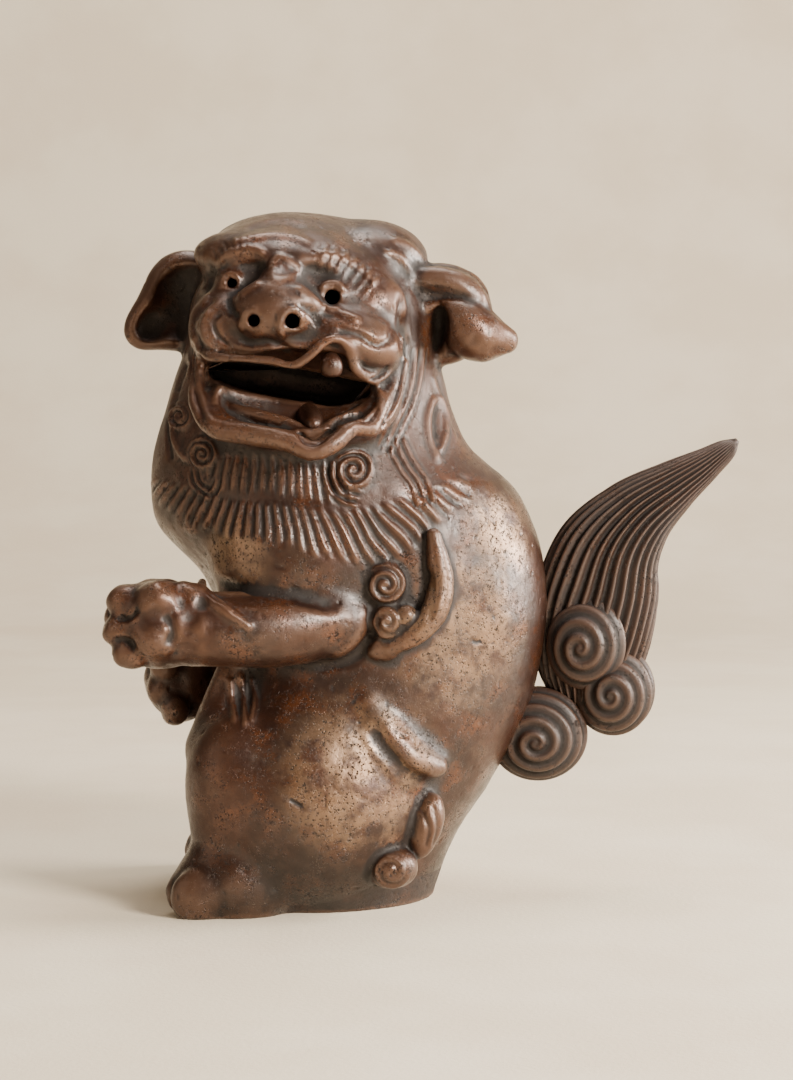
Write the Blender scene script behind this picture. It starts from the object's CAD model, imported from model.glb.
"""Seated guardian lion in unglazed stoneware: the modelled clay surfaces, their finish, and a studio to see them in.

Lengths are millimetres in the shaping code and metres in Blender. +Z is up, the turned head looks along -Y, and
the body heads along -X. "Near" is the flank at -Y and "far" is the flank at +Y.
"""
import math

import bpy
import numpy as np
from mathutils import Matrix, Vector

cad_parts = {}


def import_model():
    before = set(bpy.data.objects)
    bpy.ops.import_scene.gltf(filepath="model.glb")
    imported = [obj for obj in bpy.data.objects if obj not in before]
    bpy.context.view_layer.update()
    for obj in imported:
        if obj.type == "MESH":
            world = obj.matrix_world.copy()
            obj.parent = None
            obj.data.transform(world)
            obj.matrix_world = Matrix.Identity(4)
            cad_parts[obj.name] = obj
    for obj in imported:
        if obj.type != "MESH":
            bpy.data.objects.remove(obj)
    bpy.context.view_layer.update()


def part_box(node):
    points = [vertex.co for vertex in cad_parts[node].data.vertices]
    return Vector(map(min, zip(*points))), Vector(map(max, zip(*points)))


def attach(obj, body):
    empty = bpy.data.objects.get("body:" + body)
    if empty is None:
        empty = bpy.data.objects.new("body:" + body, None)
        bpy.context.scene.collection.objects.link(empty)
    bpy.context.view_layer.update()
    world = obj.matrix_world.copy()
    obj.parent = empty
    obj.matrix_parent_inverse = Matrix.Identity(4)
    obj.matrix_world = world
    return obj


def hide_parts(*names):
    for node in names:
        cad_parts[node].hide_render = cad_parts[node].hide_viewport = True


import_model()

import openvdb
from mathutils import Vector

MM = 0.001

# ---- Places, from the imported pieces, in millimetres ----


def span(*nodes):
    """Lowest and highest corners of some nodes together."""
    boxes = [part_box(node) for node in nodes]
    low = np.min([np.array(b[0]) for b in boxes], axis=0) / MM
    high = np.max([np.array(b[1]) for b in boxes], axis=0) / MM
    return low, high


def by(anchor, x, y, z):
    """A point at an offset from an anchor."""
    return (anchor[0] + x, anchor[1] + y, anchor[2] + z)


def middle(node):
    """The middle of a node's box, to a tenth of a millimetre."""
    return tuple(np.round(np.mean(span(node), axis=0), 1))


floor_level = span("base_slab")[0][2]
slab_top, mane_seam = span("body_left_shell")[0][2], span("body_left_shell")[1][2]
neck_top = span("mane_collar")[1][2]
skull_low, skull_high = span("skull_cap")
CROWN = ((skull_low[0] + skull_high[0]) / 2, 0.0, skull_high[2])     # top of the head, over its middle
haunch_low, haunch_high = span("left_haunch")
HAUNCH = tuple((haunch_low + haunch_high) / 2)
foot_low, foot_high = span("left_hind_foot")
FOOT = ((foot_low[0] + foot_high[0]) / 2, (foot_low[1] + foot_high[1]) / 2, floor_level)
near_arm_low, near_arm_high = span("left_foreleg")
PAW = (near_arm_low[0], (near_arm_low[1] + near_arm_high[1]) / 2, (near_arm_low[2] + near_arm_high[2]) / 2)
far_arm_low, far_arm_high = span("right_foreleg")
FAR_PAW = (far_arm_low[0], (far_arm_low[1] + far_arm_high[1]) / 2, far_arm_low[2])
THIGH, ARM, FAR_ARM = middle("left_haunch"), middle("left_foreleg"), middle("right_foreleg")
FLAME_AT, CURLS_AT, HOCK = middle("left_shoulder_flame"), middle("left_shoulder_curls"), middle("left_hock_tuft")

# ---- Curves and distance fields: a field is negative inside the clay and positive outside ----


def smooth_row(values, at, x):
    """Smooth curve through a row of values: cubic Hermite spans with central slopes."""
    at, values = np.asarray(at, float), np.asarray(values, float)
    slopes = np.gradient(values, at)
    n = np.clip(np.searchsorted(at, x) - 1, 0, len(at) - 2)
    w = at[n + 1] - at[n]
    t = np.clip((x - at[n]) / w, 0, 1)
    h00, h10 = 2 * t**3 - 3 * t**2 + 1, t**3 - 2 * t**2 + t
    h01, h11 = -2 * t**3 + 3 * t**2, t**3 - t**2
    return h00 * values[n] + h10 * w * slopes[n] + h01 * values[n + 1] + h11 * w * slopes[n + 1]


def smooth_path(points, count=18):
    """Evenly spaced points on a smooth curve through a few."""
    points = np.asarray(points, float)
    if len(points) < 3:
        return points
    at = np.concatenate([[0], np.cumsum(np.linalg.norm(np.diff(points, axis=0), axis=1))])
    where = np.linspace(0, at[-1], count)
    return np.column_stack([smooth_row(points[:, n], at, where) for n in range(points.shape[1])])


def smooth_union(a, b, k):
    """Smaller of two fields, with a fillet of about k where they cross: their mix less k h (1 - h)."""
    h = np.clip(0.5 + 0.5 * (b - a) / k, 0, 1)
    return b * (1 - h) + a * h - k * h * (1 - h)


class Ball:
    """An ellipsoid lump that leans about Y by some degrees.

    Near-distance: k0 (k0 - 1) / k1, with k0 = |q / r| and k1 = |q / r^2|.
    """

    def __init__(self, centre, radii, lean=0):
        self.centre = np.asarray(centre, float)
        self.radii = np.asarray(radii, float)
        c, s = math.cos(math.radians(lean)), math.sin(math.radians(lean))
        self.turn = np.array([[c, 0, s], [0, 1, 0], [-s, 0, c]])
        self.low = self.centre - self.radii.max()
        self.high = self.centre + self.radii.max()

    def field(self, p):
        q = (p - self.centre) @ self.turn
        k0 = np.linalg.norm(q / self.radii, axis=1)
        k1 = np.linalg.norm(q / self.radii**2, axis=1) + 1e-9
        return k0 * (k0 - 1) / k1


class Roll:
    """A tapering roll along a smooth curve: distance to its spans, less a radius that runs along each."""

    def __init__(self, points, radii, count=18):
        sizes = np.broadcast_to(np.asarray(radii, float), (len(points),))
        line = smooth_path(np.column_stack([np.asarray(points, float), sizes]), count)
        self.line, self.sizes = line[:, :-1], line[:, -1]
        self.low = self.line.min(axis=0) - self.sizes.max()
        self.high = self.line.max(axis=0) + self.sizes.max()

    def field(self, p):
        best = np.full(len(p), np.inf)
        for a, b, ra, rb in zip(self.line[:-1], self.line[1:], self.sizes[:-1], self.sizes[1:]):
            way = b - a
            t = np.clip((p - a) @ way / (way @ way), 0, 1)
            d = np.linalg.norm(p - a - t[:, None] * way, axis=1) - (ra + (rb - ra) * t)
            best = np.minimum(best, d)
        return best


class Slot:
    """A roll seen along Y, as deep as a given Y: for the mouth and the punched holes."""

    def __init__(self, points, radii, back, front=-40.0):
        self.roll = Roll(points, radii)
        self.back = back
        self.low = np.array([self.roll.low[0], front, self.roll.low[1]])
        self.high = np.array([self.roll.high[0], back, self.roll.high[1]])

    def field(self, p):
        return np.maximum(self.roll.field(p[:, [0, 2]]), p[:, 1] - self.back)


REACH = 2.6     # mm past a lump's box, beyond its fillet, in which its field is worked out


def join(p, d, shape, k):
    """Adds a lump to the clay with a fillet of k, near that lump only."""
    near = np.all((p > shape.low - k - REACH) & (p < shape.high + k + REACH), axis=1)
    d[near] = smooth_union(d[near], shape.field(p[near]), k)


def carve(p, d, shape, k):
    """Takes a lump out of the clay with an edge rounded by k."""
    near = np.all((p > shape.low - k - REACH) & (p < shape.high + k + REACH), axis=1)
    d[near] = -smooth_union(-d[near], shape.field(p[near]), k)


def merge(p, d, limb, anchor, low, high, k):
    """Adds a whole limb, worked out inside a box round an anchor only, with a fillet of k."""
    low, high = by(anchor, *low), by(anchor, *high)
    near = np.all((p > np.array(low) - REACH) & (p < np.array(high) + REACH), axis=1)
    d[near] = smooth_union(d[near], limb(p[near]), k)


def lumps(p, d, anchor, table, change=join):
    """Adds or carves the balls of a table: offset from an anchor, half sizes, lean about Y in degrees, fillet."""
    for offset, radii, lean, k in table:
        change(p, d, Ball(by(anchor, *offset), radii, lean), k)


def roll_at(anchor, offsets, radii, count=18):
    """A roll through offsets from an anchor."""
    return Roll([by(anchor, *offset) for offset in offsets], radii, count)


def slot_at(places, sizes, back):
    """A slot through (X, Z) offsets from the crown, as deep as a Y offset from it."""
    return Slot([(CROWN[0] + x, CROWN[2] + z) for x, z in places], sizes, CROWN[1] + back)


def both_sides(p):
    """The points with the far flank's laid over the near flank's."""
    return np.column_stack([p[:, 0], -np.abs(p[:, 1]), p[:, 2]])


# ---- The body's form ----
# The trunk's round sections: height, centre along X, half width and half depth.
TRUNK = np.array([
    (0, -2.5, 15.5, 15.0),
    (8, -1.0, 17.0, 16.5),
    (16, 1.0, 20.0, 17.5),
    (25, 3.5, 22.3, 18.5),
    (35, 6.0, 22.3, 18.2),
    (45, 4.6, 23.9, 18.7),
    (52, 0.6, 26.0, 19.0),
    (57, -1.2, 24.9, 18.5),
    (62, -3.7, 21.9, 17.5),
    (67, -4.3, 19.9, 16.5),
    (73, -4.2, 18.2, 15.5),
    (80, -4.0, 15.5, 13.5),
    (88, -4.0, 12.0, 10.5),
])


def trunk(p):
    """Near-distance to a column of ellipses whose centre and half sizes run smoothly with height."""
    x, y, z = p.T
    centre, wide, deep = (smooth_row(TRUNK[:, n], TRUNK[:, 0], z) for n in (1, 2, 3))
    k0 = np.hypot((x - centre) / wide, y / deep)
    k1 = np.hypot((x - centre) / wide**2, y / deep**2) + 1e-9
    return np.maximum(k0 * (k0 - 1) / k1, z - CROWN[2] + 10)


def add_legs(p, d):
    """Haunches, knees, shins, feet, shoulders and the belly's ridges."""
    q = both_sides(p)
    merge(q, d, hind_leg, HAUNCH, (-22, -11, -20), (18, 12, 16), 3.6)
    join(q, d, roll_at(THIGH, FLANK_FOLD, FLANK_FOLD_SIZE), 2.4)
    join(q, d, Ball(by(ARM, 8.6, 8.0, 7.4), (12.4, 9.2, 10.8)), 3.2)
    join(p, d, roll_at(THIGH, BELLY_RIDGE, (1.8, 2.4, 2.6)), 3.0)
    merge(p, d, near_foreleg, PAW, (-3, -8, -8), (38, 10, 9), 1.5)
    merge(p, d, far_foreleg, FAR_PAW, (-3, -8, -5), (24, 12, 22), 1.4)


def hind_leg(q):
    """The near haunch, knee, shin and foot."""
    leg = Ball(by(HAUNCH, -0.4, 0.6, -1.0), (15.4, 8.7, 14.2)).field(q)
    join(q, leg, Ball(by(HAUNCH, -10.8, 0.8, 3.0), (5.6, 7.0, 8.4)), 3.5)
    join(q, leg, roll_at(HAUNCH, [(-10.6, 0.2, 1.0), (-11.8, 0.0, -11.0)], (4.8, 4.6)), 2.5)
    return smooth_union(leg, hind_foot(q), 1.6)


def hind_foot(q):
    """The near hind foot with its three toes."""
    foot = Ball(by(FOOT, -0.4, 1.2, 4.0), (8.2, 5.8, 6.4)).field(q)
    lumps(q, foot, FOOT, [((-5.6 + 0.7 * abs(n), n * 3.4 + 0.8, 3.0), (3.9, 2.2, 3.7), -14, 0.8) for n in (-1, 0, 1)])
    return foot


def near_foreleg(p):
    """The near forearm held out level, its paw and toes."""
    arm = roll_at(ARM, [(12.6, 3.0, 0.6), (5.2, 0.2, -0.3), (-2.8, -0.6, -0.3), (-9.8, -0.8, -0.1)],
                  (5.0, 5.1, 5.0, 4.9)).field(p)
    join(p, arm, Ball(by(PAW, 6.4, -0.2, 0.5), (6.2, 5.3, 5.9)), 1.6)
    lumps(p, arm, PAW, [((x, y, z), (size * 1.15, size, size), 0, 0.7) for x, y, z, size in NEAR_TOES])
    return arm


def far_foreleg(p):
    """The far forearm bent down, its paw and toes."""
    arm = roll_at(FAR_ARM, [(8.8, 2.7, 7.0), (1.8, 2.4, 1.5), (-2.2, 1.8, -3.0)], (5.2, 4.6, 4.4)).field(p)
    join(p, arm, Ball(by(FAR_PAW, 4.6, 1.4, 3.6), (5.0, 5.0, 5.8)), 1.6)
    lumps(p, arm, FAR_PAW, [((x, y, z), (size, size, size * 1.15), 0, 0.7) for x, y, z, size in FAR_TOES])
    return arm


# Offsets from the haunch's middle.
FLANK_FOLD = [(8.1, -3.1, 12.2), (10.9, -3.5, 7.8), (14.1, -3.1, 4.6), (17.1, -2.1, 3.8)]
FLANK_FOLD_SIZE = (0.8, 2.0, 2.4, 1.2)
BELLY_RIDGE = [(-9.9, 2.5, 18.8), (-11.7, 2.9, 13.3), (-13.9, 3.1, 6.2)]
# Toes: the offset from the paw's foremost edge, then the radius.
NEAR_TOES = [(2.6, -1.4, 3.4, 2.5), (2.0, -2.2, -0.4, 2.3), (3.2, -2.4, -3.2, 2.3), (6.4, -3.6, -1.2, 2.9),
             (6.8, -3.0, 3.4, 3.0), (10.6, -1.8, 3.6, 2.6), (1.9, 1.8, 1.0, 2.4)]
FAR_TOES = [(2.8, -2.2, 6.2, 2.3), (2.2, -1.8, 2.8, 2.3), (4.0, -2.6, 0.2, 2.1), (1.8, 1.8, 4.4, 2.5)]


def add_head(p, d):
    """Skull, forehead, brows, nose, muzzle, jaw and lips, with the mouth and the holes opened."""
    lumps(p, d, CROWN, SKULL)
    lumps(p, d, CROWN, EYE_HOLLOWS, carve)
    lumps(p, d, CROWN, EYES)
    join(p, d, roll_at(CROWN, [(-4.0, -14.2, -7.0), (-4.4, -18.0, -12.0)], (1.5, 3.0)), 1.4)
    lumps(p, d, CROWN, MUZZLE)
    join(p, d, roll_at(CROWN, LOWER_LIP, LOWER_LIP_SIZE, 36), 1.7)
    lumps(p, d, CROWN, [((-1.7, -20.2, -23.9), (11.6, 6.6, 5.3), 0, 0.6)], carve)
    join(p, d, roll_at(CROWN, GUM, 0.8, 24), 1.0)
    join(p, d, roll_at(CROWN, UPPER_LIP, UPPER_LIP_SIZE, 44), 0.8)
    carve(p, d, slot_at(MOUTH, MOUTH_SIZE, -4.0), 0.4)
    for x, z, size in HOLES:
        carve(p, d, slot_at([(x, z), (x + 0.01, z)], (size, size), -8.0), 0.35)


# Lumps of the head: offset from the crown, half sizes, lean about Y and fillet.
SKULL = [((0.1, 1.2, -14.4), (16.6, 15.0, 14.2), 0, 3.5), ((-4.0, -1.5, -6.4), (10.8, 11.0, 6.4), 0, 2.0),
         ((7.4, 0.5, -6.8), (8.4, 9.6, 6.0), 0, 0.9), ((-2.2, -7.4, -14.6), (14.4, 9.8, 10.8), 0, 2.5),
         ((-3.2, -8.6, -7.4), (12.8, 7.6, 4.8), 8, 1.8)]
EYE_HOLLOWS = [((-8.0, -17.2, -7.7), (3.4, 2.4, 1.2), 4, 1.0), ((1.6, -17.4, -8.5), (3.2, 2.4, 1.3), 18, 1.0),
               ((-14.2, -13.4, -9.6), (1.6, 1.8, 2.4), 0, 1.0)]
EYES = [((2.9, -13.6, -11.6), (2.9, 3.0, 2.5), 0, 0.9), ((-10.4, -13.0, -9.9), (2.5, 2.8, 2.2), 0, 0.9),
        ((7.4, -11.6, -12.8), (5.2, 3.6, 4.2), 0, 2.2)]
MUZZLE = [((-4.6, -17.8, -13.8), (6.0, 4.6, 4.3), 0, 1.5), ((-11.6, -13.8, -15.8), (4.8, 5.2, 5.0), 0, 1.8),
          ((4.4, -14.8, -17.4), (8.0, 5.8, 4.6), 12, 1.8), ((-3.6, -16.6, -18.6), (8.0, 3.8, 2.6), 4, 1.4),
          ((-1.4, -13.2, -26.4), (13.2, 9.8, 6.6), 0, 1.8)]
# Lines of the lips and the mouth, as offsets from the crown, with the radius at each point.
LOWER_LIP = [(-15.0, -12.6, -20.0), (-14.9, -16.4, -25.4), (-12.8, -19.8, -28.6), (-6.6, -22.6, -29.7),
             (-2.4, -23.4, -30.6), (0.4, -23.6, -31.8), (3.2, -23.2, -30.9), (5.6, -21.8, -28.9),
             (8.2, -19.8, -28.9), (10.4, -16.8, -26.4), (12.2, -12.6, -20.6)]
LOWER_LIP_SIZE = [0.8, 1.2, 1.4, 1.45, 1.3, 1.25, 1.25, 1.15, 1.2, 1.1, 0.9]
GUM = [(-12.4, -16.0, -26.2), (-6.0, -19.2, -27.5), (-2.0, -20.2, -28.6), (0.4, -20.8, -30.0), (2.6, -20.4, -28.6),
       (5.4, -18.4, -27.4), (8.6, -15.4, -26.0)]
UPPER_LIP = [(-15.0, -13.6, -17.3), (-13.1, -18.2, -19.5), (-8.6, -20.6, -20.1), (-4.7, -21.2, -20.2),
             (-2.4, -21.4, -20.8), (-0.7, -21.6, -20.0), (0.6, -21.6, -18.9), (2.0, -21.4, -17.6),
             (3.8, -21.0, -17.2), (5.2, -20.2, -18.4), (6.0, -19.4, -21.1), (8.1, -17.8, -22.4),
             (10.4, -15.2, -21.0), (11.8, -12.4, -17.4)]
UPPER_LIP_SIZE = [0.6, 0.75, 0.8, 0.75, 0.65, 0.6, 0.6, 0.6, 0.6, 0.65, 0.7, 0.8, 0.8, 0.6]
MOUTH = [(-12.6, -21.6), (-9.5, -22.1), (-4.7, -22.9), (0.0, -23.6), (3.4, -24.2), (6.9, -24.0)]
MOUTH_SIZE = [1.3, 1.9, 2.1, 2.1, 2.0, 1.1]
HOLES = [(2.9, -11.7, 1.0), (-10.4, -9.8, 0.66), (-7.2, -14.8, 0.72), (-2.2, -14.9, 0.9)]


def far_ear(p):
    """The far ear: a drooping pointed leaf, hollow to the front inside a thin rim."""
    leaf = Ball(by(CROWN, -18.0, 0.6, -12.0), (5.8, 3.0, 7.0), 6).field(p)
    lumps(p, leaf, CROWN, [((-20.8, 0.0, -14.2), (6.0, 2.5, 3.9), -34, 1.8),
                           ((-14.9, 1.2, -10.2), (4.5, 3.6, 4.8), 0, 1.5)])
    lumps(p, leaf, CROWN, [((-17.8, -2.9, -12.2), (4.5, 4.2, 5.7), 6, 0.7),
                           ((-20.6, -2.6, -14.3), (4.6, 3.2, 2.6), -34, 0.9)], carve)
    return leaf


def near_ear(p):
    """The near ear: an arched ridge over a thick folded flap that ends in a blunt tip."""
    leaf = Ball(by(CROWN, 17.4, -2.4, -13.8), (7.2, 3.2, 7.0)).field(p)
    join(p, leaf, roll_at(CROWN, EAR_RIDGE, EAR_RIDGE_SIZE), 1.0)
    carve(p, leaf, roll_at(CROWN, EAR_GROOVE, EAR_GROOVE_SIZE), 0.5)
    join(p, leaf, roll_at(CROWN, EAR_FLAP, EAR_FLAP_SIZE), 0.7)
    lumps(p, leaf, CROWN, [((16.6, -6.6, -16.9), (1.8, 3.8, 4.4), 12, 0.8)], carve)
    return leaf


EAR_RIDGE = [(11.4, -5.0, -9.4), (15.0, -4.9, -9.0), (18.4, -4.8, -9.4), (21.4, -4.6, -11.2), (23.0, -4.2, -14.4)]
EAR_RIDGE_SIZE = (1.1, 1.6, 1.9, 1.9, 1.8)
EAR_GROOVE = [(13.8, -6.3, -15.6), (14.6, -6.8, -12.2), (17.4, -7.2, -10.9), (20.6, -7.0, -11.6)]
EAR_GROOVE_SIZE = (1.7, 1.3, 0.9, 0.6)
EAR_FLAP = [(16.0, -5.4, -13.0), (19.4, -5.8, -13.6), (22.0, -5.0, -16.4), (26.3, -4.6, -17.4)]
EAR_FLAP_SIZE = (0.7, 1.9, 3.7, 1.8)


def flame(q):
    """The near flame lock, a hooked roll that rises behind the shoulder curls."""
    return roll_at(FLAME_AT, FLAME, FLAME_SIZE).field(q)


def curl_bosses(q):
    """The near shoulder curls."""
    d = np.full(len(q), 9.0)
    lumps(q, d, CURLS_AT, CURL_BOSSES)
    return d


def hock_tuft(q):
    """The leaf of hair and the ball behind the near hock."""
    leaf = Ball(by(HOCK, 1.5, -0.2, 1.2), (2.3, 2.4, 4.6), 16).field(q)
    return smooth_union(leaf, Ball(by(HOCK, -3.1, -1.6, -4.2), (3.5, 3.0, 2.9)).field(q), 0.5)


def add_ornaments(p, d):
    """The luted flame locks, curls and hock tufts, and the fold across the near wrist."""
    q = both_sides(p)
    carve(q, d, roll_at(FLAME_AT, FLAME_GROOVE, (0.5, 1.0, 1.1, 0.5)), 0.8)
    merge(q, d, flame, FLAME_AT, (-10.3, -5.9, -10.6), (3.7, 3.1, 10.4), 0.9)
    merge(q, d, curl_bosses, CURLS_AT, (-6.6, -4.2, -6.8), (4.4, 4.8, 10.2), 0.6)
    merge(q, d, hock_tuft, HOCK, (-8.3, -7.2, -8.8), (5.7, 4.8, 7.2), 0.8)
    join(p, d, WRIST_FOLD, 0.9)


WRIST_FOLD = roll_at(ARM, [(-5.0, 5.4, 5.4), (-4.2, -2.2, 4.4), (-1.4, -4.9, 2.6), (1.6, -5.3, 0.6)],
                     (0.5, 0.8, 0.8, 0.4))
# The flame lock and its groove, as offsets from the middle of its box.
FLAME = [(-7.3, -1.9, -7.4), (-4.1, -2.2, -5.4), (-1.5, -1.9, -2.6), (-0.5, -1.3, 1.0), (-1.0, -1.1, 4.6),
         (-1.5, -1.1, 7.6)]
FLAME_SIZE = [0.9, 1.6, 1.8, 1.7, 1.4, 0.9]
FLAME_GROOVE = [(-2.4, -2.2, 6.8), (-4.1, -2.8, 4.0), (-4.1, -3.2, 0.2), (-3.1, -3.1, -1.6)]
# The shoulder curls: offset from the middle of their box, half sizes, lean and fillet.
CURL_BOSSES = [((-2.2, 0.2, 4.9), (2.6, 1.6, 3.1), 0, 0.6), ((-2.0, 0.0, 0.1), (2.6, 1.8, 2.5), 0, 0.6),
               ((0.6, -0.6, 0.8), (1.4, 1.3, 1.5), 0, 0.6), ((-2.6, 0.5, -3.4), (2.4, 1.3, 1.9), 0, 0.6)]


def statue(p):
    """The whole fused body, standing on its flat sole."""
    d = trunk(p)
    add_legs(p, d)
    add_head(p, d)
    merge(p, d, far_ear, CROWN, (-28, -6, -22), (-8, 7, -2), 1.2)
    merge(p, d, near_ear, CROWN, (8, -10, -24), (30, 3, -4), 1.4)
    add_ornaments(p, d)
    return np.maximum(d, floor_level - p[:, 2])

# ---- From a field to a fine mesh ----
COARSE = 0.62       # mm between the first grid's points


def slope(field, p, step=0.02):
    """Unit gradient of a field, from four corners of a small tetrahedron."""
    corners = np.array([(1, -1, -1), (-1, -1, 1), (-1, 1, -1), (1, 1, 1)], float)
    g = sum(corner * field(p + step * corner)[:, None] for corner in corners)
    return g / (np.linalg.norm(g, axis=1, keepdims=True) + 1e-12)


def settle(field, p, rounds):
    """Moves points on to the zero surface along the field's slope, by no more than half a grid step a round."""
    for _ in range(rounds):
        p = p - slope(field, p) * np.clip(field(p), -COARSE / 2, COARSE / 2)[:, None]
    return p


def mesh_of(field, low, high, step):
    """Points and triangles of a field's zero surface."""
    count = np.ceil((high - low) / step).astype(int)
    axes = [low[n] + step * np.arange(count[n]) for n in range(3)]
    grid = np.stack(np.meshgrid(*axes, indexing="ij"), axis=-1).reshape(-1, 3)
    values = np.concatenate([field(part) for part in np.array_split(grid, 12)]).astype(np.float32)
    values = np.clip(values, -3 * step, 3 * step).reshape(count)
    volume = openvdb.FloatGrid(3 * step)
    volume.copyFromArray(values)
    points, quads = volume.convertToQuads(isovalue=0)
    points = points.astype(float) * step + low
    quads = quads.astype(np.int64)
    tris = np.concatenate([quads[:, [0, 1, 2]], quads[:, [0, 2, 3]]])
    return points, tris


def outward(points, tris, field):
    """Turns the triangles so that their normals follow the field outwards."""
    a, b, c = (points[tris[:, n]] for n in range(3))
    normal = np.cross(b - a, c - a)
    if np.mean(np.einsum("ij,ij->i", normal, slope(field, (a + b + c) / 3))) < 0:
        tris = tris[:, ::-1]
    return tris


def edges_of(tris):
    """Each triangle's three edges, in its own direction."""
    return np.concatenate([tris[:, [0, 1]], tris[:, [1, 2]], tris[:, [2, 0]]])


def quarter(points, tris):
    """Cuts each triangle into four at its edges' middles."""
    edges = np.sort(edges_of(tris), axis=1)
    key = edges[:, 0] * len(points) + edges[:, 1]
    _, first, inverse = np.unique(key, return_index=True, return_inverse=True)
    middles = points[edges[first]].mean(axis=1)
    ab, bc, ca = (len(points) + inverse.reshape(3, -1)[n] for n in range(3))
    a, b, c = tris.T
    new = np.concatenate([np.column_stack(t) for t in ((a, ab, ca), (ab, b, bc), (ca, bc, c), (ab, bc, ca))])
    return np.concatenate([points, middles]), new


def mesh_normals(points, tris):
    """Area-weighted unit normals at the points."""
    a, b, c = (points[tris[:, n]] for n in range(3))
    face = np.cross(b - a, c - a)
    total = np.zeros_like(points)
    for n in range(3):
        for axis in range(3):
            total[:, axis] += np.bincount(tris[:, n], weights=face[:, axis], minlength=len(points))
    return total / (np.linalg.norm(total, axis=1, keepdims=True) + 1e-12)


def make_object(name, points, tris, normals=None):
    """A Blender mesh at the origin from points in millimetres."""
    mesh = bpy.data.meshes.new(name)
    mesh.vertices.add(len(points))
    mesh.vertices.foreach_set("co", (points * MM).astype(np.float32).ravel())
    mesh.loops.add(len(tris) * 3)
    mesh.loops.foreach_set("vertex_index", tris.astype(np.int32).ravel())
    mesh.polygons.add(len(tris))
    mesh.polygons.foreach_set("loop_start", np.arange(0, len(tris) * 3, 3, dtype=np.int32))
    mesh.polygons.foreach_set("use_smooth", np.ones(len(tris), bool))
    mesh.update(calc_edges=True)
    mesh.validate()
    if normals is not None:
        mesh.normals_split_custom_set_from_vertices(normals.astype(np.float32))
    obj = bpy.data.objects.new(name, mesh)
    bpy.context.scene.collection.objects.link(obj)
    return obj

# ---- Cutting the fused body into its luted pieces ----


def split(shape, field):
    """Cuts a triangle mesh where a field at its points crosses zero; gives the part below it, then the rest.

    A shape is points, the values that each carries (normal, wear, place on the smooth form) and triangles. Each
    crossed edge gets one new point, by linear interpolation.
    """
    points, values, tris = shape
    s = np.where(np.abs(field) < 1e-6, 1e-6, field)
    below = s < 0
    count = below[tris].sum(axis=1)
    crossed = tris[(count == 1) | (count == 2)]
    side = below[crossed]
    lone = np.where(side.sum(axis=1) == 1, np.argmax(side, axis=1), np.argmin(side, axis=1))
    order = (lone[:, None] + np.arange(3)) % 3
    a, b, c = np.take_along_axis(crossed, order, axis=1).T
    edges = np.sort(np.concatenate([np.column_stack([a, b]), np.column_stack([a, c])]), axis=1)
    _, first, inverse = np.unique(edges[:, 0] * len(points) + edges[:, 1], return_index=True, return_inverse=True)
    i, j = edges[first].T
    t = (s[i] / (s[i] - s[j]))[:, None]
    points, values = (np.concatenate([v, v[i] * (1 - t) + v[j] * t]) for v in (points, values))
    ab, ac = len(s) + inverse.reshape(2, -1)
    tip = np.column_stack([a, ab, ac])
    rest = np.concatenate([np.column_stack([ab, b, c]), np.column_stack([ab, c, ac])])
    tip_below = below[a]
    rest_below = np.concatenate([tip_below, tip_below])
    low = np.concatenate([tris[count == 3], tip[tip_below], rest[~rest_below]])
    high = np.concatenate([tris[count == 0], tip[~tip_below], rest[rest_below]])
    return compact((points, values, low)), compact((points, values, high))


def compact(shape):
    """Drops the points that no triangle uses."""
    points, values, tris = shape
    used, tris = np.unique(tris, return_inverse=True)
    return points[used], values[used], tris.reshape(-1, 3)


def closed(shape, depth):
    """Closes each open rim of a patch: a skirt just under the skin, then a cone to a point under the rim's middle.

    The point is sunk by depth, but by no more than the rim's own reach, and not at all under a rim that runs round
    the piece and so faces no one way.
    """
    points, values, tris = shape
    edges = edges_of(tris)
    key = edges[:, 0] * len(points) + edges[:, 1]
    back = edges[:, 1] * len(points) + edges[:, 0]
    rim = edges[~np.isin(key, back)]
    if len(rim) == 0:
        return shape
    start, end = rim.T
    label = np.arange(len(points))      # comes to the lowest point number on each rim
    while True:
        low = np.minimum(label[start], label[end])
        before = label.copy()
        np.minimum.at(label, start, low)
        np.minimum.at(label, end, low)
        label[rim.ravel()] = label[label[rim.ravel()]]
        if np.array_equal(before, label):
            break
    which = np.unique(label[start], return_inverse=True)[1]

    def rim_mean(of):
        total = [np.bincount(which, weights=column) for column in of.T]
        return np.column_stack(total) / np.bincount(which)[:, None]

    on_rim, slot = np.unique(rim, return_inverse=True)
    slot = slot.reshape(-1, 2) + len(points)
    inner = points[on_rim] - SKIRT * values[on_rim, :3]
    centre, facing = rim_mean(points[start]), rim_mean(values[start, :3])
    reach = rim_mean(np.linalg.norm(points[start] - centre[which], axis=1)[:, None])
    one_way = np.linalg.norm(facing, axis=1, keepdims=True)
    facing /= one_way + 1e-12
    centre = centre - facing * np.minimum(depth, reach) * ease(one_way, 0.35, 0.6)
    tip = len(points) + len(inner) + which
    faces = [(end, start, slot[:, 0]), (end, slot[:, 0], slot[:, 1]), (slot[:, 1], slot[:, 0], tip)]
    tips = np.column_stack([-facing, np.full((len(centre), values.shape[1] - 3), 0.5)])
    return (np.concatenate([points, inner, centre]), np.concatenate([values, values[on_rim], tips]),
            np.concatenate([tris, *(np.column_stack(face) for face in faces)]))


SKIRT = 0.6     # mm from the skin to the cap's edge inside it

# ---- Surface details: how far each point is lifted along its normal, in millimetres ----


def ease(x, low, high):
    """Smooth step from 0 at low to 1 at high."""
    t = np.clip((x - low) / (high - low), 0, 1)
    return t * t * (3 - 2 * t)


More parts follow.
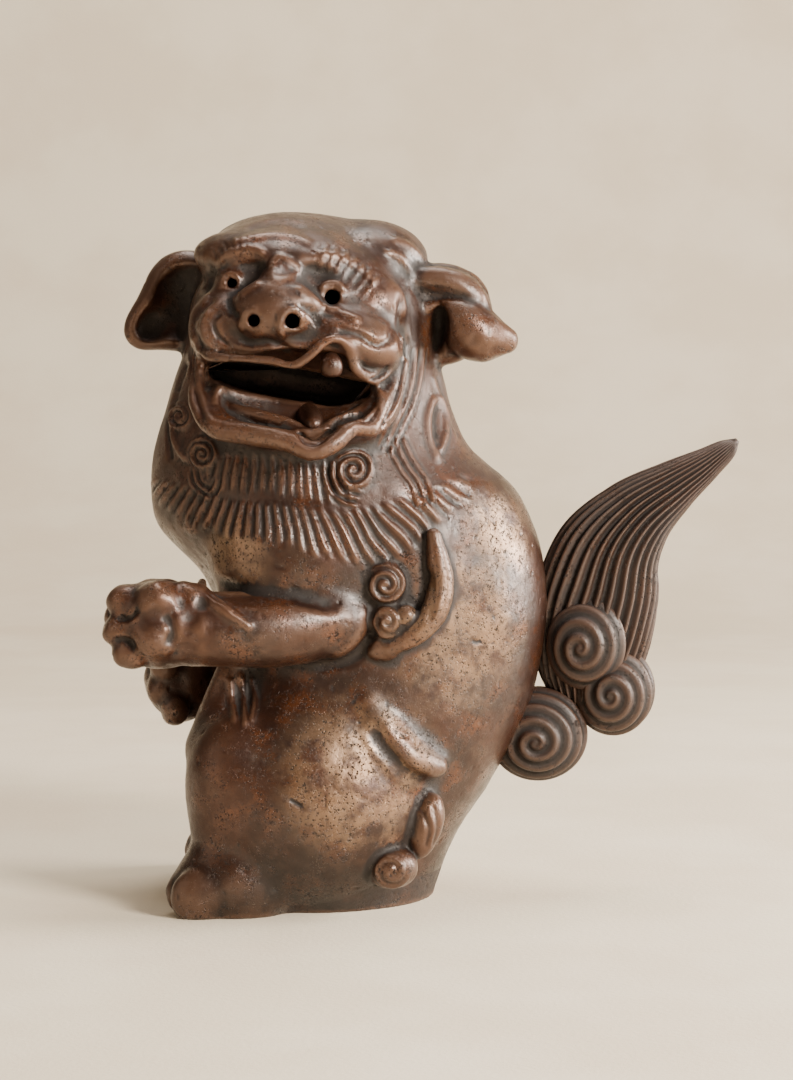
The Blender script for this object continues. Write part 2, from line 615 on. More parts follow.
def grain(p, size, seed):
    """Value noise from -1 to 1: hashed heights on a lattice of the given size, eased between its points."""
    q = p / size + 31.7
    cell = np.floor(q).astype(np.int64)
    f = q - cell
    f = f * f * (3 - 2 * f)
    total = np.zeros(len(p))
    for corner in np.ndindex(2, 2, 2):
        at = cell + np.array(corner)
        key = (at[:, 0] * 73856093) ^ (at[:, 1] * 19349663) ^ (at[:, 2] * 83492791) ^ (seed * 2654435761)
        value = ((key * 1103515245 + 12345) & 0x7FFFFFFF) % 10007 / 5003.5 - 1
        total += value * np.prod(np.where(corner, f, 1 - f), axis=1)
    return total


def along(p, path):
    """Distance to a path in the plane, which side of it (+ on its right), the place along it, and its length."""
    best = np.full(len(p), np.inf)
    side, place = np.zeros(len(p)), np.zeros(len(p))
    start = 0.0
    for a, b in zip(path[:-1], path[1:]):
        way = b - a
        length = math.hypot(*way)
        t = np.clip((p - a) @ way / length**2, 0, 1)
        off = p - a - t[:, None] * way
        d = np.hypot(off[:, 0], off[:, 1])
        closer = d < best
        best = np.where(closer, d, best)
        side = np.where(closer, np.sign(off[:, 0] * way[1] - off[:, 1] * way[0]), side)
        place = np.where(closer, start + t * length, place)
        start += length
    return best, side, place, start


def beside(p, facing, points, width):
    """Which points may lie on a band along a path, and for those what along() gives."""
    path = smooth_path(points, 5 * len(points))
    near = np.all((p > path.min(axis=0) - width) & (p < path.max(axis=0) + width), axis=1) & (facing > 0)
    return near, *along(p[near], path)


def stroke(p, facing, lift, points, width, height):
    """A tooled line: a cosine ridge (or groove, when negative) across a path, thinning to its ends."""
    near, d, _, place, length = beside(p, facing, points, width)
    ends = ease(np.minimum(place, length - place), -0.2 * width, 1.4 * width)
    lift[near] += height * facing[near] * ends * (0.5 + 0.5 * np.cos(math.pi * np.minimum(d / width, 1)))


def combed(p, facing, lift, points, width, pitch, depth, slant):
    """A combed lock: parallel waves in a band along a path. slant 0 runs them along it; more crosses it."""
    near, d, side, place, length = beside(p, facing, points, width)
    phase = (d * side * (1 - slant) + place * slant) / pitch
    band = ease(width - d, 0, 0.35 * width) * ease(np.minimum(place, length - place), -0.1, 0.8)
    lift[near] += depth * facing[near] * band * np.cos(2 * math.pi * phase)


def whorl(p, facing, lift, centre, radius, pitch, depth):
    """A spiral curl: a low dome whose waves wind inwards, phase = distance / pitch + angle."""
    off = p - np.array(centre)
    r = np.hypot(off[:, 0], off[:, 1])
    near = (r < radius * 1.25) & (facing > 0)
    r, off = r[near], off[near]
    angle = np.arctan2(off[:, 1], off[:, 0]) / (2 * math.pi)
    inside = ease(radius * 1.15 - r, 0, 0.3 * radius)
    wave = np.cos(2 * math.pi * (r / pitch - angle)) * ease(r, 0.1, 0.5)
    lift[near] += facing[near] * inside * (depth * wave + 1.2 * depth)


def fringe(p, facing, lift, centre, upper, lower, per_turn, depth):
    """A combed fringe between two curves: waves fan out from a centre, and the band thickens to a cut lower edge."""
    x, z = p.T
    top = smooth_row(upper[1], upper[0], x)
    foot = smooth_row(lower[1], lower[0], x)
    inside = (x > lower[0][0] - 1) & (x < lower[0][-1] + 1)
    share = (top - z) / np.maximum(top - foot, 0.3)
    angle = np.arctan2(x - centre[0], centre[1] - z) / (2 * math.pi)
    wander = 0.35 * grain(np.column_stack([x, z, 0 * x]), 4.0, 5)
    ragged = 0.05 * np.sin(2 * math.pi * per_turn * angle / 3.7 + 1.0)
    band = ease(share, -0.05, 0.18) * ease(1.06 + ragged - share, 0, 0.30) * inside * facing
    wave = np.cos(2 * math.pi * (per_turn * angle + wander))
    lift += band * depth * (wave + 0.25)


# Tooled lines of the head and the mane: (X, Z) from the crown, then half width and height.
HEAD_LINES = [
    ([(-10.6, -11.7), (-10.3, -13.5), (-8.9, -14.9)], 0.9, -0.5),
    ([(-12.4, -11.4), (-14.5, -13.1), (-15.7, -15.2), (-15.0, -17.3), (-13.8, -19.0)], 0.9, -0.45),
    ([(-13.1, -13.1), (-14.1, -15.2), (-13.6, -17.3), (-12.0, -19.0)], 0.8, 0.35),
    ([(-11.6, -13.4), (-12.7, -15.2), (-12.0, -17.0), (-10.4, -18.4)], 0.7, -0.35),
    ([(-9.6, -17.3), (-7.5, -17.8), (-5.4, -17.6), (-3.3, -18.3), (-2.0, -18.7)], 0.9, -0.5),
    ([(-3.3, -17.3), (-3.8, -15.2), (-2.7, -13.5), (-0.9, -13.4)], 0.7, 0.4),
    ([(-8.6, -16.6), (-9.0, -14.9), (-8.0, -13.5), (-6.4, -13.4)], 0.7, 0.3),
    ([(-2.0, -10.0), (0.1, -11.7), (1.9, -13.3), (4.3, -13.9), (7.1, -15.0)], 0.8, 0.4),
    ([(-1.6, -12.4), (0.6, -14.0), (1.6, -15.8)], 0.9, -0.5),
    ([(-6.1, -9.6), (-7.9, -10.7), (-9.6, -11.8)], 0.7, 0.35),
    ([(-5.4, -8.2), (-4.7, -6.9), (-3.9, -6.4), (-2.8, -6.9), (-1.6, -8.2), (-2.8, -9.2), (-4.7, -9.2), (-5.4, -8.2)],
     0.9, 0.3),
    ([(-4.0, -7.9), (-3.6, -7.9)], 0.9, 0.25),
    ([(-12.6, -7.4), (-11.7, -6.5), (-9.6, -5.6), (-7.2, -5.4), (-5.6, -6.4)], 0.9, 0.45),
    ([(-11.0, -4.8), (-6.8, -3.6), (-2.7, -3.5), (0.6, -4.8)], 0.9, 0.3),
    ([(-9.0, -2.6), (-4.4, -1.7), (-0.2, -2.6)], 0.9, -0.2),
    ([(0.4, -5.9), (3.6, -6.2), (6.6, -7.8), (9.2, -10.2)], 1.0, 0.35),
    ([(1.2, -11.0), (2.0, -10.0), (3.6, -9.9), (4.8, -11.2)], 0.6, 0.35),
    ([(1.2, -12.6), (2.6, -13.6), (4.4, -13.0)], 0.6, 0.3),
    ([(-11.8, -9.4), (-10.5, -8.6), (-9.2, -9.4)], 0.6, 0.3),
    ([(6.5, -12.8), (6.9, -12.8)], 1.1, 0.55),
    ([(9.1, -12.4), (9.5, -12.4)], 1.2, 0.5),
    ([(8.1, -10.9), (8.4, -10.9)], 0.8, 0.35),
    ([(8.0, -16.4), (8.4, -16.4)], 0.9, 0.4),
    ([(3.3, -16.0), (6.4, -16.6), (9.2, -18.0), (10.9, -16.9), (10.4, -15.3)], 0.9, -0.4),
    ([(7.8, -22.9), (9.3, -22.0), (10.6, -21.0)], 0.6, -0.6),
    ([(-1.3, -28.9), (-0.6, -30.5), (0.8, -30.9), (2.4, -29.6), (3.9, -27.7), (5.5, -27.3), (7.8, -27.9), (9.2, -25.8)],
     0.6, -0.4),
    ([(-12.9, -25.4), (-12.7, -25.8)], 0.9, 0.5),
    ([(-15.9, -17.3), (-16.1, -20.4), (-15.4, -24.2), (-14.0, -28.4)], 1.0, -0.5),
    ([(12.4, -11.0), (12.2, -15.2), (12.8, -19.4), (11.4, -24.9), (9.6, -29.6)], 1.1, -0.45),
    ([(16.8, -24.6), (15.7, -27.7), (15.8, -30.8), (17.2, -34.0)], 0.8, 0.45),
    ([(17.1, -24.6), (18.2, -28.2), (17.8, -31.2), (16.9, -32.8)], 0.7, 0.4),
    ([(16.8, -26.0), (16.8, -31.0)], 0.7, -0.4),
    ([(-18.6, -24.0), (-19.4, -27.0), (-18.6, -31.0), (-16.6, -34.0)], 0.7, 0.4),
    ([(-17.2, -20.0), (-18.4, -24.0), (-19.6, -29.0), (-19.0, -34.0)], 0.7, -0.35),
    ([(10.4, -3.4), (13.4, -4.8), (15.6, -7.0)], 0.8, 0.25),
    ([(9.4, -5.2), (12.2, -6.4), (13.6, -8.6)], 0.8, 0.25),
]
# Combed locks: (X, Z) from the crown, then half width, pitch, depth and slant.
HEAD_LOCKS = [
    ([(0.5, -6.0), (3.6, -7.0), (6.4, -8.8), (9.0, -10.9)], 2.2, 1.25, 0.07, 1.0),
    ([(-13.0, -6.4), (-10.4, -4.8), (-7.0, -4.4)], 1.0, 0.9, 0.05, 1.0),
    ([(14.2, -18.0), (13.8, -22.0), (12.8, -25.6), (11.4, -28.6), (9.6, -32.2)], 1.9, 1.0, 0.16, 0.0),
    ([(11.2, -30.6), (12.6, -33.6), (14.6, -36.6), (15.4, -39.6)], 2.0, 1.05, 0.15, 0.0),
    ([(2.9, -33.0), (3.0, -35.6), (4.3, -37.6), (6.6, -38.3)], 1.6, 1.0, 0.24, 0.0),
    ([(-15.8, -34.4), (-15.2, -36.6), (-13.4, -37.6), (-12.2, -35.6)], 1.2, 0.9, 0.2, 0.0),
    ([(17.4, -21.6), (19.0, -26.0), (20.8, -31.0)], 1.8, 1.2, 0.14, 0.0),
]
# Spiral curls: (X, Z) from the crown, then radius, pitch and depth.
HEAD_WHORLS = [((5.7, -34.6), 2.8, 1.15, 0.3), ((-14.5, -32.6), 2.2, 0.95, 0.24), ((-17.9, -27.7), 1.9, 0.9, 0.2)]
# The fringe's two bands: the fan's centre, the upper curve and the lower curve (X row, Z row), and lines per turn.
BANDS = [
    ((-4.0, 0.0), ((-13.0, -6.1, -0.6, 4.4), (-32.8, -32.3, -33.4, -34.2)),
     ((-13.0, -6.1, -0.6, 4.4), (-38.0, -38.1, -38.7, -39.4)), 184, 0.16),
    ((-5.8, -20.1), ((-21.4, -15.8, -10.3, -2.0, 4.3, 8.0, 11.9, 16.1, 20.4),
                     (-36.0, -37.2, -38.3, -38.9, -39.7, -39.3, -38.0, -36.9, -35.4)),
     ((-21.4, -15.8, -8.9, -2.0, 2.6, 6.4, 11.0, 15.4, 20.4),
      (-39.5, -42.6, -43.9, -45.2, -46.3, -47.4, -47.2, -43.6, -39.2)), 106, 0.18),
]
# Tooled lines of the body: (X, Z), then half width and height.
BODY_LINES = [
    ([(-17.6, 44.8), (-11.0, 43.4), (-5.4, 43.4), (0.6, 41.7)], 1.8, -0.6),
    ([(3.4, 42.6), (3.2, 38.8), (1.0, 36.2), (-1.6, 35.0)], 1.4, 0.45),
    ([(4.8, 42.2), (4.6, 38.0), (1.8, 34.8), (-3.4, 33.6)], 1.3, -0.5),
    ([(-14.6, 32.0), (-14.3, 28.8), (-13.6, 26.0)], 0.7, 0.4),
    ([(-13.3, 32.6), (-12.7, 28.8), (-12.3, 25.4)], 0.7, 0.4),
    ([(-11.9, 32.0), (-11.2, 28.8), (-11.7, 25.8)], 0.7, 0.35),
    ([(17.8, 36.8), (19.5, 36.6)], 0.35, -0.3),
    ([(4.2, 26.4), (6.8, 22.4), (10.2, 19.0), (13.2, 18.2)], 1.7, -0.7),
    ([(-6.4, 16.6), (-4.2, 15.4)], 0.5, -0.35),
    ([(-29.4, 40.6), (-27.2, 40.8), (-25.8, 42.2)], 0.7, -0.5),
    ([(-29.6, 37.6), (-27.4, 37.8), (-26.2, 36.2)], 0.7, -0.5),
    ([(-22.4, 41.4), (-21.4, 39.2), (-22.0, 37.0)], 0.9, -0.35),
    ([(11.0, 14.6), (12.2, 12.0), (11.8, 9.0)], 0.6, -0.3),
    ([(12.6, 15.4), (13.4, 12.0), (12.8, 9.0)], 0.6, -0.25),
    ([(12.0, 39.6), (12.6, 43.0), (12.2, 47.0)], 0.8, -0.25),
]
BODY_WHORLS = [((6.4, 44.8), 2.5, 1.15, 0.28), ((6.6, 39.9), 2.1, 1.2, 0.2), ((7.2, 6.6), 2.4, 1.3, 0.18)]


def lift_of(p, normals):
    """All the details' lift together, at points of the smooth form."""
    lift = 0.10 * grain(p, 6.0, 1) + 0.06 * grain(p, 2.4, 2) + 0.02 * grain(p, 0.9, 3)
    near, far = ease(-normals[:, 1], 0.0, 0.25), ease(normals[:, 1], 0.0, 0.25)
    flat = p[:, [0, 2]] - np.array([CROWN[0], CROWN[2]])
    for centre, upper, lower, per_turn, depth in BANDS:
        fringe(flat, near, lift, centre, upper, lower, per_turn, depth)
    fringe(flat, far, lift, *BANDS[1])
    x, z = flat.T
    hair = ease(-3.0 - z, 0, 4) * ease(z + 35.5, 0, 3) * ease(p[:, 1] + 0.25 * x, 2.0, 7.0)
    lift += 0.2 * hair * far * np.cos(2 * math.pi * (x + 1.2 * np.sin(z / 5) + 0.5 * grain(p, 7.0, 8)) / 1.5)
    for points, width, height in HEAD_LINES:
        stroke(flat, near, lift, points, width, height)
    for points, width, pitch, depth, slant in HEAD_LOCKS:
        combed(flat, near, lift, points, width, pitch, depth, slant)
    for centre, radius, pitch, depth in HEAD_WHORLS:
        whorl(flat, near, lift, centre, radius, pitch, depth)
    flat = p[:, [0, 2]]
    for points, width, height in BODY_LINES:
        stroke(flat, near, lift, points, width, height)
    for side in (near, far):
        for centre, radius, pitch, depth in BODY_WHORLS:
            whorl(flat, side, lift, centre, radius, pitch, depth)
    rough = (ease(PAW[0] + 16 - p[:, 0], 0, 4) * ease(p[:, 2], PAW[2] - 9, PAW[2] - 6) * ease(-p[:, 1], 8, 11)
             + ease(p[:, 0], CROWN[0] + 19, CROWN[0] + 23) * ease(p[:, 2], CROWN[2] - 22, CROWN[2] - 19)
             + ease(FAR_PAW[0] + 8 - p[:, 0], 0, 4) * ease(PAW[2] - 6 - p[:, 2], 0, 2))
    lift += 0.16 * np.clip(rough, 0, 1) * grain(p, 1.5, 4)
    return lift - 0.10 * ease(grain(p, 0.9, 6), 0.70, 0.9)


def wear(points, tris, normals):
    """How proud (1) or sunk (0) each point stands against two smoothed copies of the surface, a fine and a broad."""
    edges = np.sort(edges_of(tris), axis=1)
    edges = edges[np.unique(edges[:, 0] * len(points) + edges[:, 1], return_index=True)[1]]
    here, there = np.concatenate([edges[:, 0], edges[:, 1]]), np.concatenate([edges[:, 1], edges[:, 0]])
    count = np.bincount(here, minlength=len(points))
    q = points
    stands = []
    for rounds in (12, 58):
        for _ in range(rounds):
            q = np.column_stack([np.bincount(here, q[there, n], len(points)) / count for n in range(3)])
        stands.append(np.einsum("ij,ij->i", points - q, normals))
    return np.clip(0.5 + stands[0] / 0.36 + stands[1] / 4.5, 0, 1)

# ---- The tail and the small luted pieces, as surfaces of two parameters ----


def sheet(name, rows):
    """A closed tube mesh from a grid of points (rows along, columns round), its two ends shut by a middle point."""
    count, around = rows.shape[:2]
    n, m = np.meshgrid(np.arange(count - 1), np.arange(around), indexing="ij")
    a, b = n * around + m, n * around + (m + 1) % around
    c, d = a + around, b + around
    tris = np.concatenate([np.stack(t, axis=-1).reshape(-1, 3) for t in ((a, b, d), (a, d, c))])
    first, last = count * around, count * around + 1
    ring = np.arange(around)
    nxt = (ring + 1) % around
    top = (count - 1) * around
    ends = [np.column_stack([np.full(around, first), nxt, ring]),
            np.column_stack([np.full(around, last), top + ring, top + nxt])]
    points = np.concatenate([rows.reshape(-1, 3), [rows[0].mean(axis=0), rows[-1].mean(axis=0)]])
    tris = np.concatenate([tris, *ends])
    a, b, c = (points[tris[:, n]] for n in range(3))
    if np.einsum("ij,ij->i", a, np.cross(b, c)).sum() < 0:
        tris = tris[:, ::-1]
    return make_object(name, points, tris)


# The plume's middle line from root to tip: X and Z from its root, half width across, and half thickness along Y.
PLUME = [(0.4, -3.4, 3.2, 2.8), (1.2, 1.0, 6.4, 4.4), (2.0, 6.6, 7.9, 5.3), (2.7, 12.6, 8.3, 5.5),
         (4.2, 18.4, 7.4, 5.2), (8.0, 23.8, 5.3, 4.4), (13.2, 28.0, 3.5, 3.4), (18.2, 31.4, 2.1, 2.3),
         (21.2, 33.6, 1.15, 1.2), (22.2, 34.5, 0.35, 0.4)]


def tail_plume(name, root):
    """The combed plume: an oval section swept along a curved middle line.

    The point at (u, v) is line(u) + across(u) w(u) cos(2 pi v) + Y t(u) sin(2 pi v), pushed out by
    depth(u) ridge(lines v + drift(u)), so the comb lines run from the root and draw together at the tip.
    """
    along_count, around = 236, 408
    table = np.array(PLUME)
    line = smooth_path(table, along_count)
    middle = line[:, :2] + np.array([root[0], root[2]])
    way = np.gradient(middle, axis=0)
    way /= np.linalg.norm(way, axis=1, keepdims=True)
    across = np.column_stack([way[:, 1], -way[:, 0]])
    v = np.arange(around) / around * 2 * math.pi
    u = np.linspace(0, 1, along_count)[:, None]
    wide, thick = line[:, 2][:, None], line[:, 3][:, None]
    drift = 0.55 * np.sin(5.0 * u + 1.3) + 0.25 * np.sin(13.0 * u) + 0.12 * np.sin(3 * v + 9 * u)
    wave = np.cos(TAIL_LINES * v + 2 * math.pi * drift)
    depth = 0.36 * np.minimum(1, wide / 5.0) * ease(wide, 0.3, 1.4)
    ridge = depth * (np.abs(wave) ** 0.8 * np.sign(wave))
    hollow = -0.5 * np.exp(-((v - 1.45 * math.pi) / 0.35) ** 2) * np.sin(math.pi * np.clip(u * 1.2, 0, 1)) ** 2
    a, b = (wide + ridge + hollow) * np.cos(v), (thick + ridge + hollow) * np.sin(v)
    rows = np.stack([middle[:, :1] + across[:, :1] * a, root[1] + b, middle[:, 1:] + across[:, 1:] * a], axis=-1)
    obj = sheet(name, rows)
    fill_worn(obj, np.concatenate([(0.5 + 0.5 * np.broadcast_to(wave, a.shape)).ravel(), [0.5, 0.5]]))
    return obj


TAIL_LINES = 30     # comb lines all round the plume


def spiral_ball(name, centre, radii, pole, rings, depth, turn):
    """A curl: an ellipsoid whose pole is turned to a direction, with grooves that wind round the pole.

    The point at polar angle s and turn t is centre + R r(s, t), pushed out along the unit sphere by
    depth cos(2 pi rings s / pi + t), a spiral of rings from pole to pole.
    """
    count, around = 150, 200
    s = np.linspace(0.01, math.pi - 0.01, count)[:, None]
    t = np.arange(around) / around * 2 * math.pi
    axis = np.array(pole, float) / np.linalg.norm(pole)
    side = np.cross(axis, (0.0, 0.0, 1.0))
    side /= np.linalg.norm(side)
    up = np.cross(side, axis)
    phase = 2 * math.pi * rings * (s / math.pi) ** 0.9 + turn * t
    wave = np.cos(phase) * ease(s, 0.02, 0.16) * ease(math.pi - s, 0.02, 0.4)
    unit = (np.cos(s)[..., None] * axis + (np.sin(s) * np.cos(t))[..., None] * side
            + (np.sin(s) * np.sin(t))[..., None] * up)
    rows = np.array(centre) + unit * np.array(radii) + unit * (depth * wave)[..., None]
    obj = sheet(name, rows)
    fill_worn(obj, np.concatenate([(0.5 + 0.5 * wave).ravel(), [0.6, 0.5]]))
    return obj


def drop(name, points, radii):
    """A smooth roll of clay: circles of radius r(u) set square to a curved line, closed at both ends."""
    count, around = 60, 48
    line = smooth_path(np.column_stack([points, radii]), count)
    middle, size = line[:, :3], line[:, 3]
    reach = np.linspace(0, 1, count)
    size = size * np.sqrt(np.clip(1 - (2 * np.clip(reach - 0.5, 0, 0.5)) ** 6, 0.0004, 1))
    way = np.gradient(middle, axis=0)
    way /= np.linalg.norm(way, axis=1, keepdims=True)
    side = np.cross(way, (1.0, 0.0, 0.0))
    side /= np.linalg.norm(side, axis=1, keepdims=True)
    up = np.cross(side, way)
    v = np.arange(around) / around * 2 * math.pi
    ring = np.cos(v)[None, :, None] * side[:, None] + np.sin(v)[None, :, None] * up[:, None]
    obj = sheet(name, middle[:, None] + ring * size[:, None, None])
    fill_worn(obj, np.full(count * around + 2, 0.62))
    return obj


def fill_worn(obj, values):
    """Stores how worn (light, 1) or sunk (dark, 0) each point is, for the finish to read."""
    attribute = obj.data.attributes.new("worn", "FLOAT", "POINT")
    attribute.data.foreach_set("value", values.astype(np.float32))

# ---- Studio ----


def floor_sheet():
    """A pale floor that curves up behind: a profile of a straight run, a quarter circle and a wall."""
    half_width, depth, rise, bend = 900.0, 650.0, 900.0, 300.0
    t = np.linspace(0, math.pi / 2, 25)
    run = [(-half_width, 0.0)]
    curve = np.column_stack([depth - bend + bend * np.sin(t), bend - bend * np.cos(t)])
    profile = np.concatenate([run, curve, [(depth, rise)]])
    count = len(profile)
    points = np.array([(side * half_width, y, z) for side in (-1, 1) for y, z in profile])
    n = np.arange(count - 1)
    tris = np.concatenate([
        np.column_stack([n, count + n + 1, n + 1]), np.column_stack([n, count + n, count + n + 1])])
    sheet = make_object("studio_floor", points, tris)
    return sheet


def soft_lamp(name, place, aim, size, power, colour):
    """A square area lamp, in metres, that faces a point."""
    data = bpy.data.lights.new(name, "AREA")
    data.shape = "SQUARE"
    data.size = size
    data.energy = power
    data.color = colour
    lamp = bpy.data.objects.new(name, data)
    bpy.context.scene.collection.objects.link(lamp)
    lamp.location = place
    lamp.rotation_euler = (Vector(aim) - Vector(place)).to_track_quat("-Z", "Y").to_euler()
    return lamp


def camera():
    """A level camera on the figure's display side: azimuth 0, a few degrees above it, seen whole."""
    aim = Vector((VIEW_CENTRE[0] * MM, 0.0, VIEW_CENTRE[1] * MM))
    lift = math.radians(VIEW_LIFT)
    place = aim + Vector((0, -math.cos(lift), math.sin(lift))) * VIEW_DISTANCE
    data = bpy.data.cameras.new("camera")
    data.sensor_fit = "VERTICAL"
    data.angle = 2 * math.atan(VIEW_HEIGHT * MM / 2 / VIEW_DISTANCE)
    data.clip_start = 0.01
    eye = bpy.data.objects.new("camera", data)
    bpy.context.scene.collection.objects.link(eye)
    eye.location = place
    eye.rotation_euler = (aim - place).to_track_quat("-Z", "Y").to_euler()
    bpy.context.scene.camera = eye


VIEW_CENTRE = (7.85, 49.3)      # millimetres, across and up, at the figure's middle plane
VIEW_HEIGHT = 150.0             # millimetres that the frame's height covers there
VIEW_DISTANCE = 0.40            # metres
VIEW_LIFT = 4.0                 # degrees above level

# ---- Finish: node trees written as arithmetic ----


class Val:
    """A node socket with operators, so that a finish reads as a formula."""

    tree = None

    def __init__(self, socket):
        self.socket = socket

    @classmethod
    def node(cls, kind, settings=None, out=0, **links):
        """Adds a node: its settings first, then its inputs by name, from sockets or plain values."""
        node = cls.tree.nodes.new(kind)
        for key, value in (settings or {}).items():
            setattr(node, key, value)
        for key, value in links.items():
            name = int(key[1:]) if key[0] == "n" and key[1:].isdigit() else key.replace("_", " ")
            cls.feed(node.inputs[name], value)
        return cls(node.outputs[out])

    @classmethod
    def feed(cls, socket, value):
        if isinstance(value, Val):
            cls.tree.links.new(value.socket, socket)
        elif isinstance(value, tuple) and socket.type == "RGBA":
            socket.default_value = (*value, 1.0)
        else:
            socket.default_value = value

    def maths(self, operation, other):
        return Val.node("ShaderNodeMath", {"operation": operation}, n0=self, n1=other)

    def __add__(self, other):
        return self.maths("ADD", other)

    __radd__ = __add__

    def __sub__(self, other):
        return self.maths("SUBTRACT", other)

    def __rsub__(self, other):
        return (self * -1.0).maths("ADD", other)

    def __mul__(self, other):
        return self.maths("MULTIPLY", other)

    __rmul__ = __mul__

    def ramp(self, low, high, start=0.0, end=1.0):
        """Smooth step of this value from low to high, mapped to start and end."""
        return Val.node("ShaderNodeMapRange", {"interpolation_type": "SMOOTHSTEP"},
                        n0=self, n1=low, n2=high, n3=start, n4=end)

    def scaled(self, factor):
        """This vector times a number."""
        return Val.node("ShaderNodeVectorMath", {"operation": "SCALE"}, n0=self, Scale=factor)

    def moved(self, other):
        """This vector plus another."""
        return Val.node("ShaderNodeVectorMath", {"operation": "ADD"}, n0=self, n1=other)


def blend(share, a, b):
    """Colour mix: a where share is 0, b where it is 1."""
    return Val.node("ShaderNodeMix", {"data_type": "RGBA", "clamp_factor": True}, out=2, n0=share, n6=a, n7=b)


def noise(place, scale, detail=3.0, rough=0.55):
    """Noise around 0.5, with scale as features per millimetre."""
    return Val.node("ShaderNodeTexNoise", Vector=place, Scale=scale, Detail=detail, Roughness=rough)


def cells(place, scale):
    """Distance to the nearest of scattered points, with scale as points per millimetre."""
    return Val.node("ShaderNodeTexVoronoi", Vector=place, Scale=scale)


def finish(name, recipe, *amounts):
    """A material from a recipe that gives colour, roughness, metallic, coat and height in millimetres."""
    material = bpy.data.materials.new(name)
    material.use_nodes = True
    tree = material.node_tree
    Val.tree = tree
    shader = next(node for node in tree.nodes if node.type == "BSDF_PRINCIPLED")
    where = Val.node("ShaderNodeTexCoord", out=3).scaled(1.0 / MM)
    worn = Val.node("ShaderNodeAttribute", {"attribute_type": "GEOMETRY", "attribute_name": "worn"}, out=2)
    colour, rough, metal, coat, height = recipe(where, worn, *amounts)
    Val.feed(shader.inputs["Base Color"], colour)
    Val.feed(shader.inputs["Roughness"], rough)
    Val.feed(shader.inputs["Metallic"], metal)
    Val.feed(shader.inputs["Coat Weight"], coat)
    shader.inputs["Coat Roughness"].default_value = COAT_ROUGHNESS
    shader.inputs["Specular IOR Level"].default_value = CLAY_SPECULAR
    bump = Val.node("ShaderNodeBump", Strength=1.0, Distance=MM, Height=height)
    Val.feed(shader.inputs["Normal"], bump)
    return material


COAT_ROUGHNESS = 0.28
CLAY_SPECULAR = 0.55


def stoneware(where, worn, gloss, dark, tint):
    """Self-glossed red-brown stoneware: clouds of brown, an orange flush, black specks, sunk dark and worn pale.

    gloss scales the sheen, dark deepens the clay, and tint scales the orange flush.
    """
    cloud = noise(where, 0.085, 4.0, 0.6)
    blotch = noise(where.moved((31.0, 7.0, 3.0)), 0.24, 5.0, 0.62)
    fine = noise(where.moved((5.0, 11.0, 17.0)), 1.6, 6.0, 0.7)
    grit = cells(where, 2.1)
    spot = cells(where.moved((9.0, 2.0, 4.0)), 3.4)
    ash = 0.0
    for centre, reach in ASH_PATCHES:
        away = Val.node("ShaderNodeVectorMath", {"operation": "DISTANCE"}, out=1, n0=where, n1=centre)
        ash = away.ramp(0.35 * reach, reach, 1.0, 0.0).maths("MAXIMUM", ash)
    ash = ash * noise(where.moved((4.0, 2.0, 6.0)), 0.3, 5.0, 0.65).ramp(0.34, 0.60) * worn.ramp(0.3, 0.5) * gloss
    peppered = blotch.ramp(0.42, 0.62).maths("MAXIMUM", ash.ramp(0.05, 0.5))
    flecks = noise(where.moved((21.0, 6.0, 9.0)), 1.5, 7.0, 0.82).ramp(0.545, 0.60)
    dots = grit.ramp(0.18, 0.34, 1.0, 0.0) * noise(where, 0.7, 4.0, 0.7).ramp(0.42, 0.54)
    specks = flecks.maths("MAXIMUM", dots) * peppered
    pale_specks = spot.ramp(0.10, 0.17, 1.0, 0.0) * noise(where.moved((2.0, 8.0, 1.0)), 0.5).ramp(0.52, 0.64)
    clay = blend(cloud.ramp(0.36, 0.64), DARK_CLAY, MID_CLAY)
    clay = blend(blotch.ramp(0.46, 0.74) * 0.62 * tint, clay, FLUSH_CLAY)
    clay = blend(noise(where.moved((13.0, 3.0, 23.0)), 0.16, 5.0, 0.6).ramp(0.54, 0.70) * 0.6, clay, GREY_CLAY)
    clay = blend(fine.ramp(0.35, 0.7) * 0.35, clay, DARK_CLAY)
    smoke = Val.node("ShaderNodeSeparateXYZ", out=2, n0=where).ramp(2.0, 17.0, 0.75, 0.0)
    clay = blend(smoke * noise(where.moved((3.0, 9.0, 5.0)), 0.11, 4.0, 0.6).ramp(0.3, 0.55), clay, SUNK_CLAY)
    clay = blend(ash * 0.70, clay, ASH_CLAY)
    clay = blend(worn.ramp(0.56, 1.0) * 0.45, clay, WORN_CLAY)
    clay = blend(worn.ramp(0.46, 0.08) * 0.85, clay, SUNK_CLAY)
    clay = blend(specks * 0.92, clay, BLACK_SPECK)
    clay = blend(pale_specks * 0.5, clay, PALE_SPECK)
    clay = blend(dark, clay, SUNK_CLAY)
    rough = (fine.ramp(0.3, 0.75, 0.24, 0.36) + specks * 0.35 + worn.ramp(0.45, 0.05, 0.0, 0.3)
             + blotch.ramp(0.4, 0.6, 0.10, 0.0) + (1.0 - gloss) * 0.32)
    metal = worn.ramp(0.2, 0.6, 0.05, 0.50) * cloud.ramp(0.35, 0.65, 0.6, 1.0) * gloss + ash * 0.25
    coat = worn.ramp(0.1, 0.6, 0.0, 0.36) * blotch.ramp(0.35, 0.6, 0.35, 1.0) * gloss * (1.0 - specks)
    height = (fine * 0.05 + noise(where, 4.5, 3.0, 0.6) * 0.022 - specks * 0.05 + pale_specks * 0.02
              - cells(where, 0.9).ramp(0.06, 0.16, 0.09, 0.0) * blotch.ramp(0.5, 0.65))
    return clay, rough, metal, coat, height


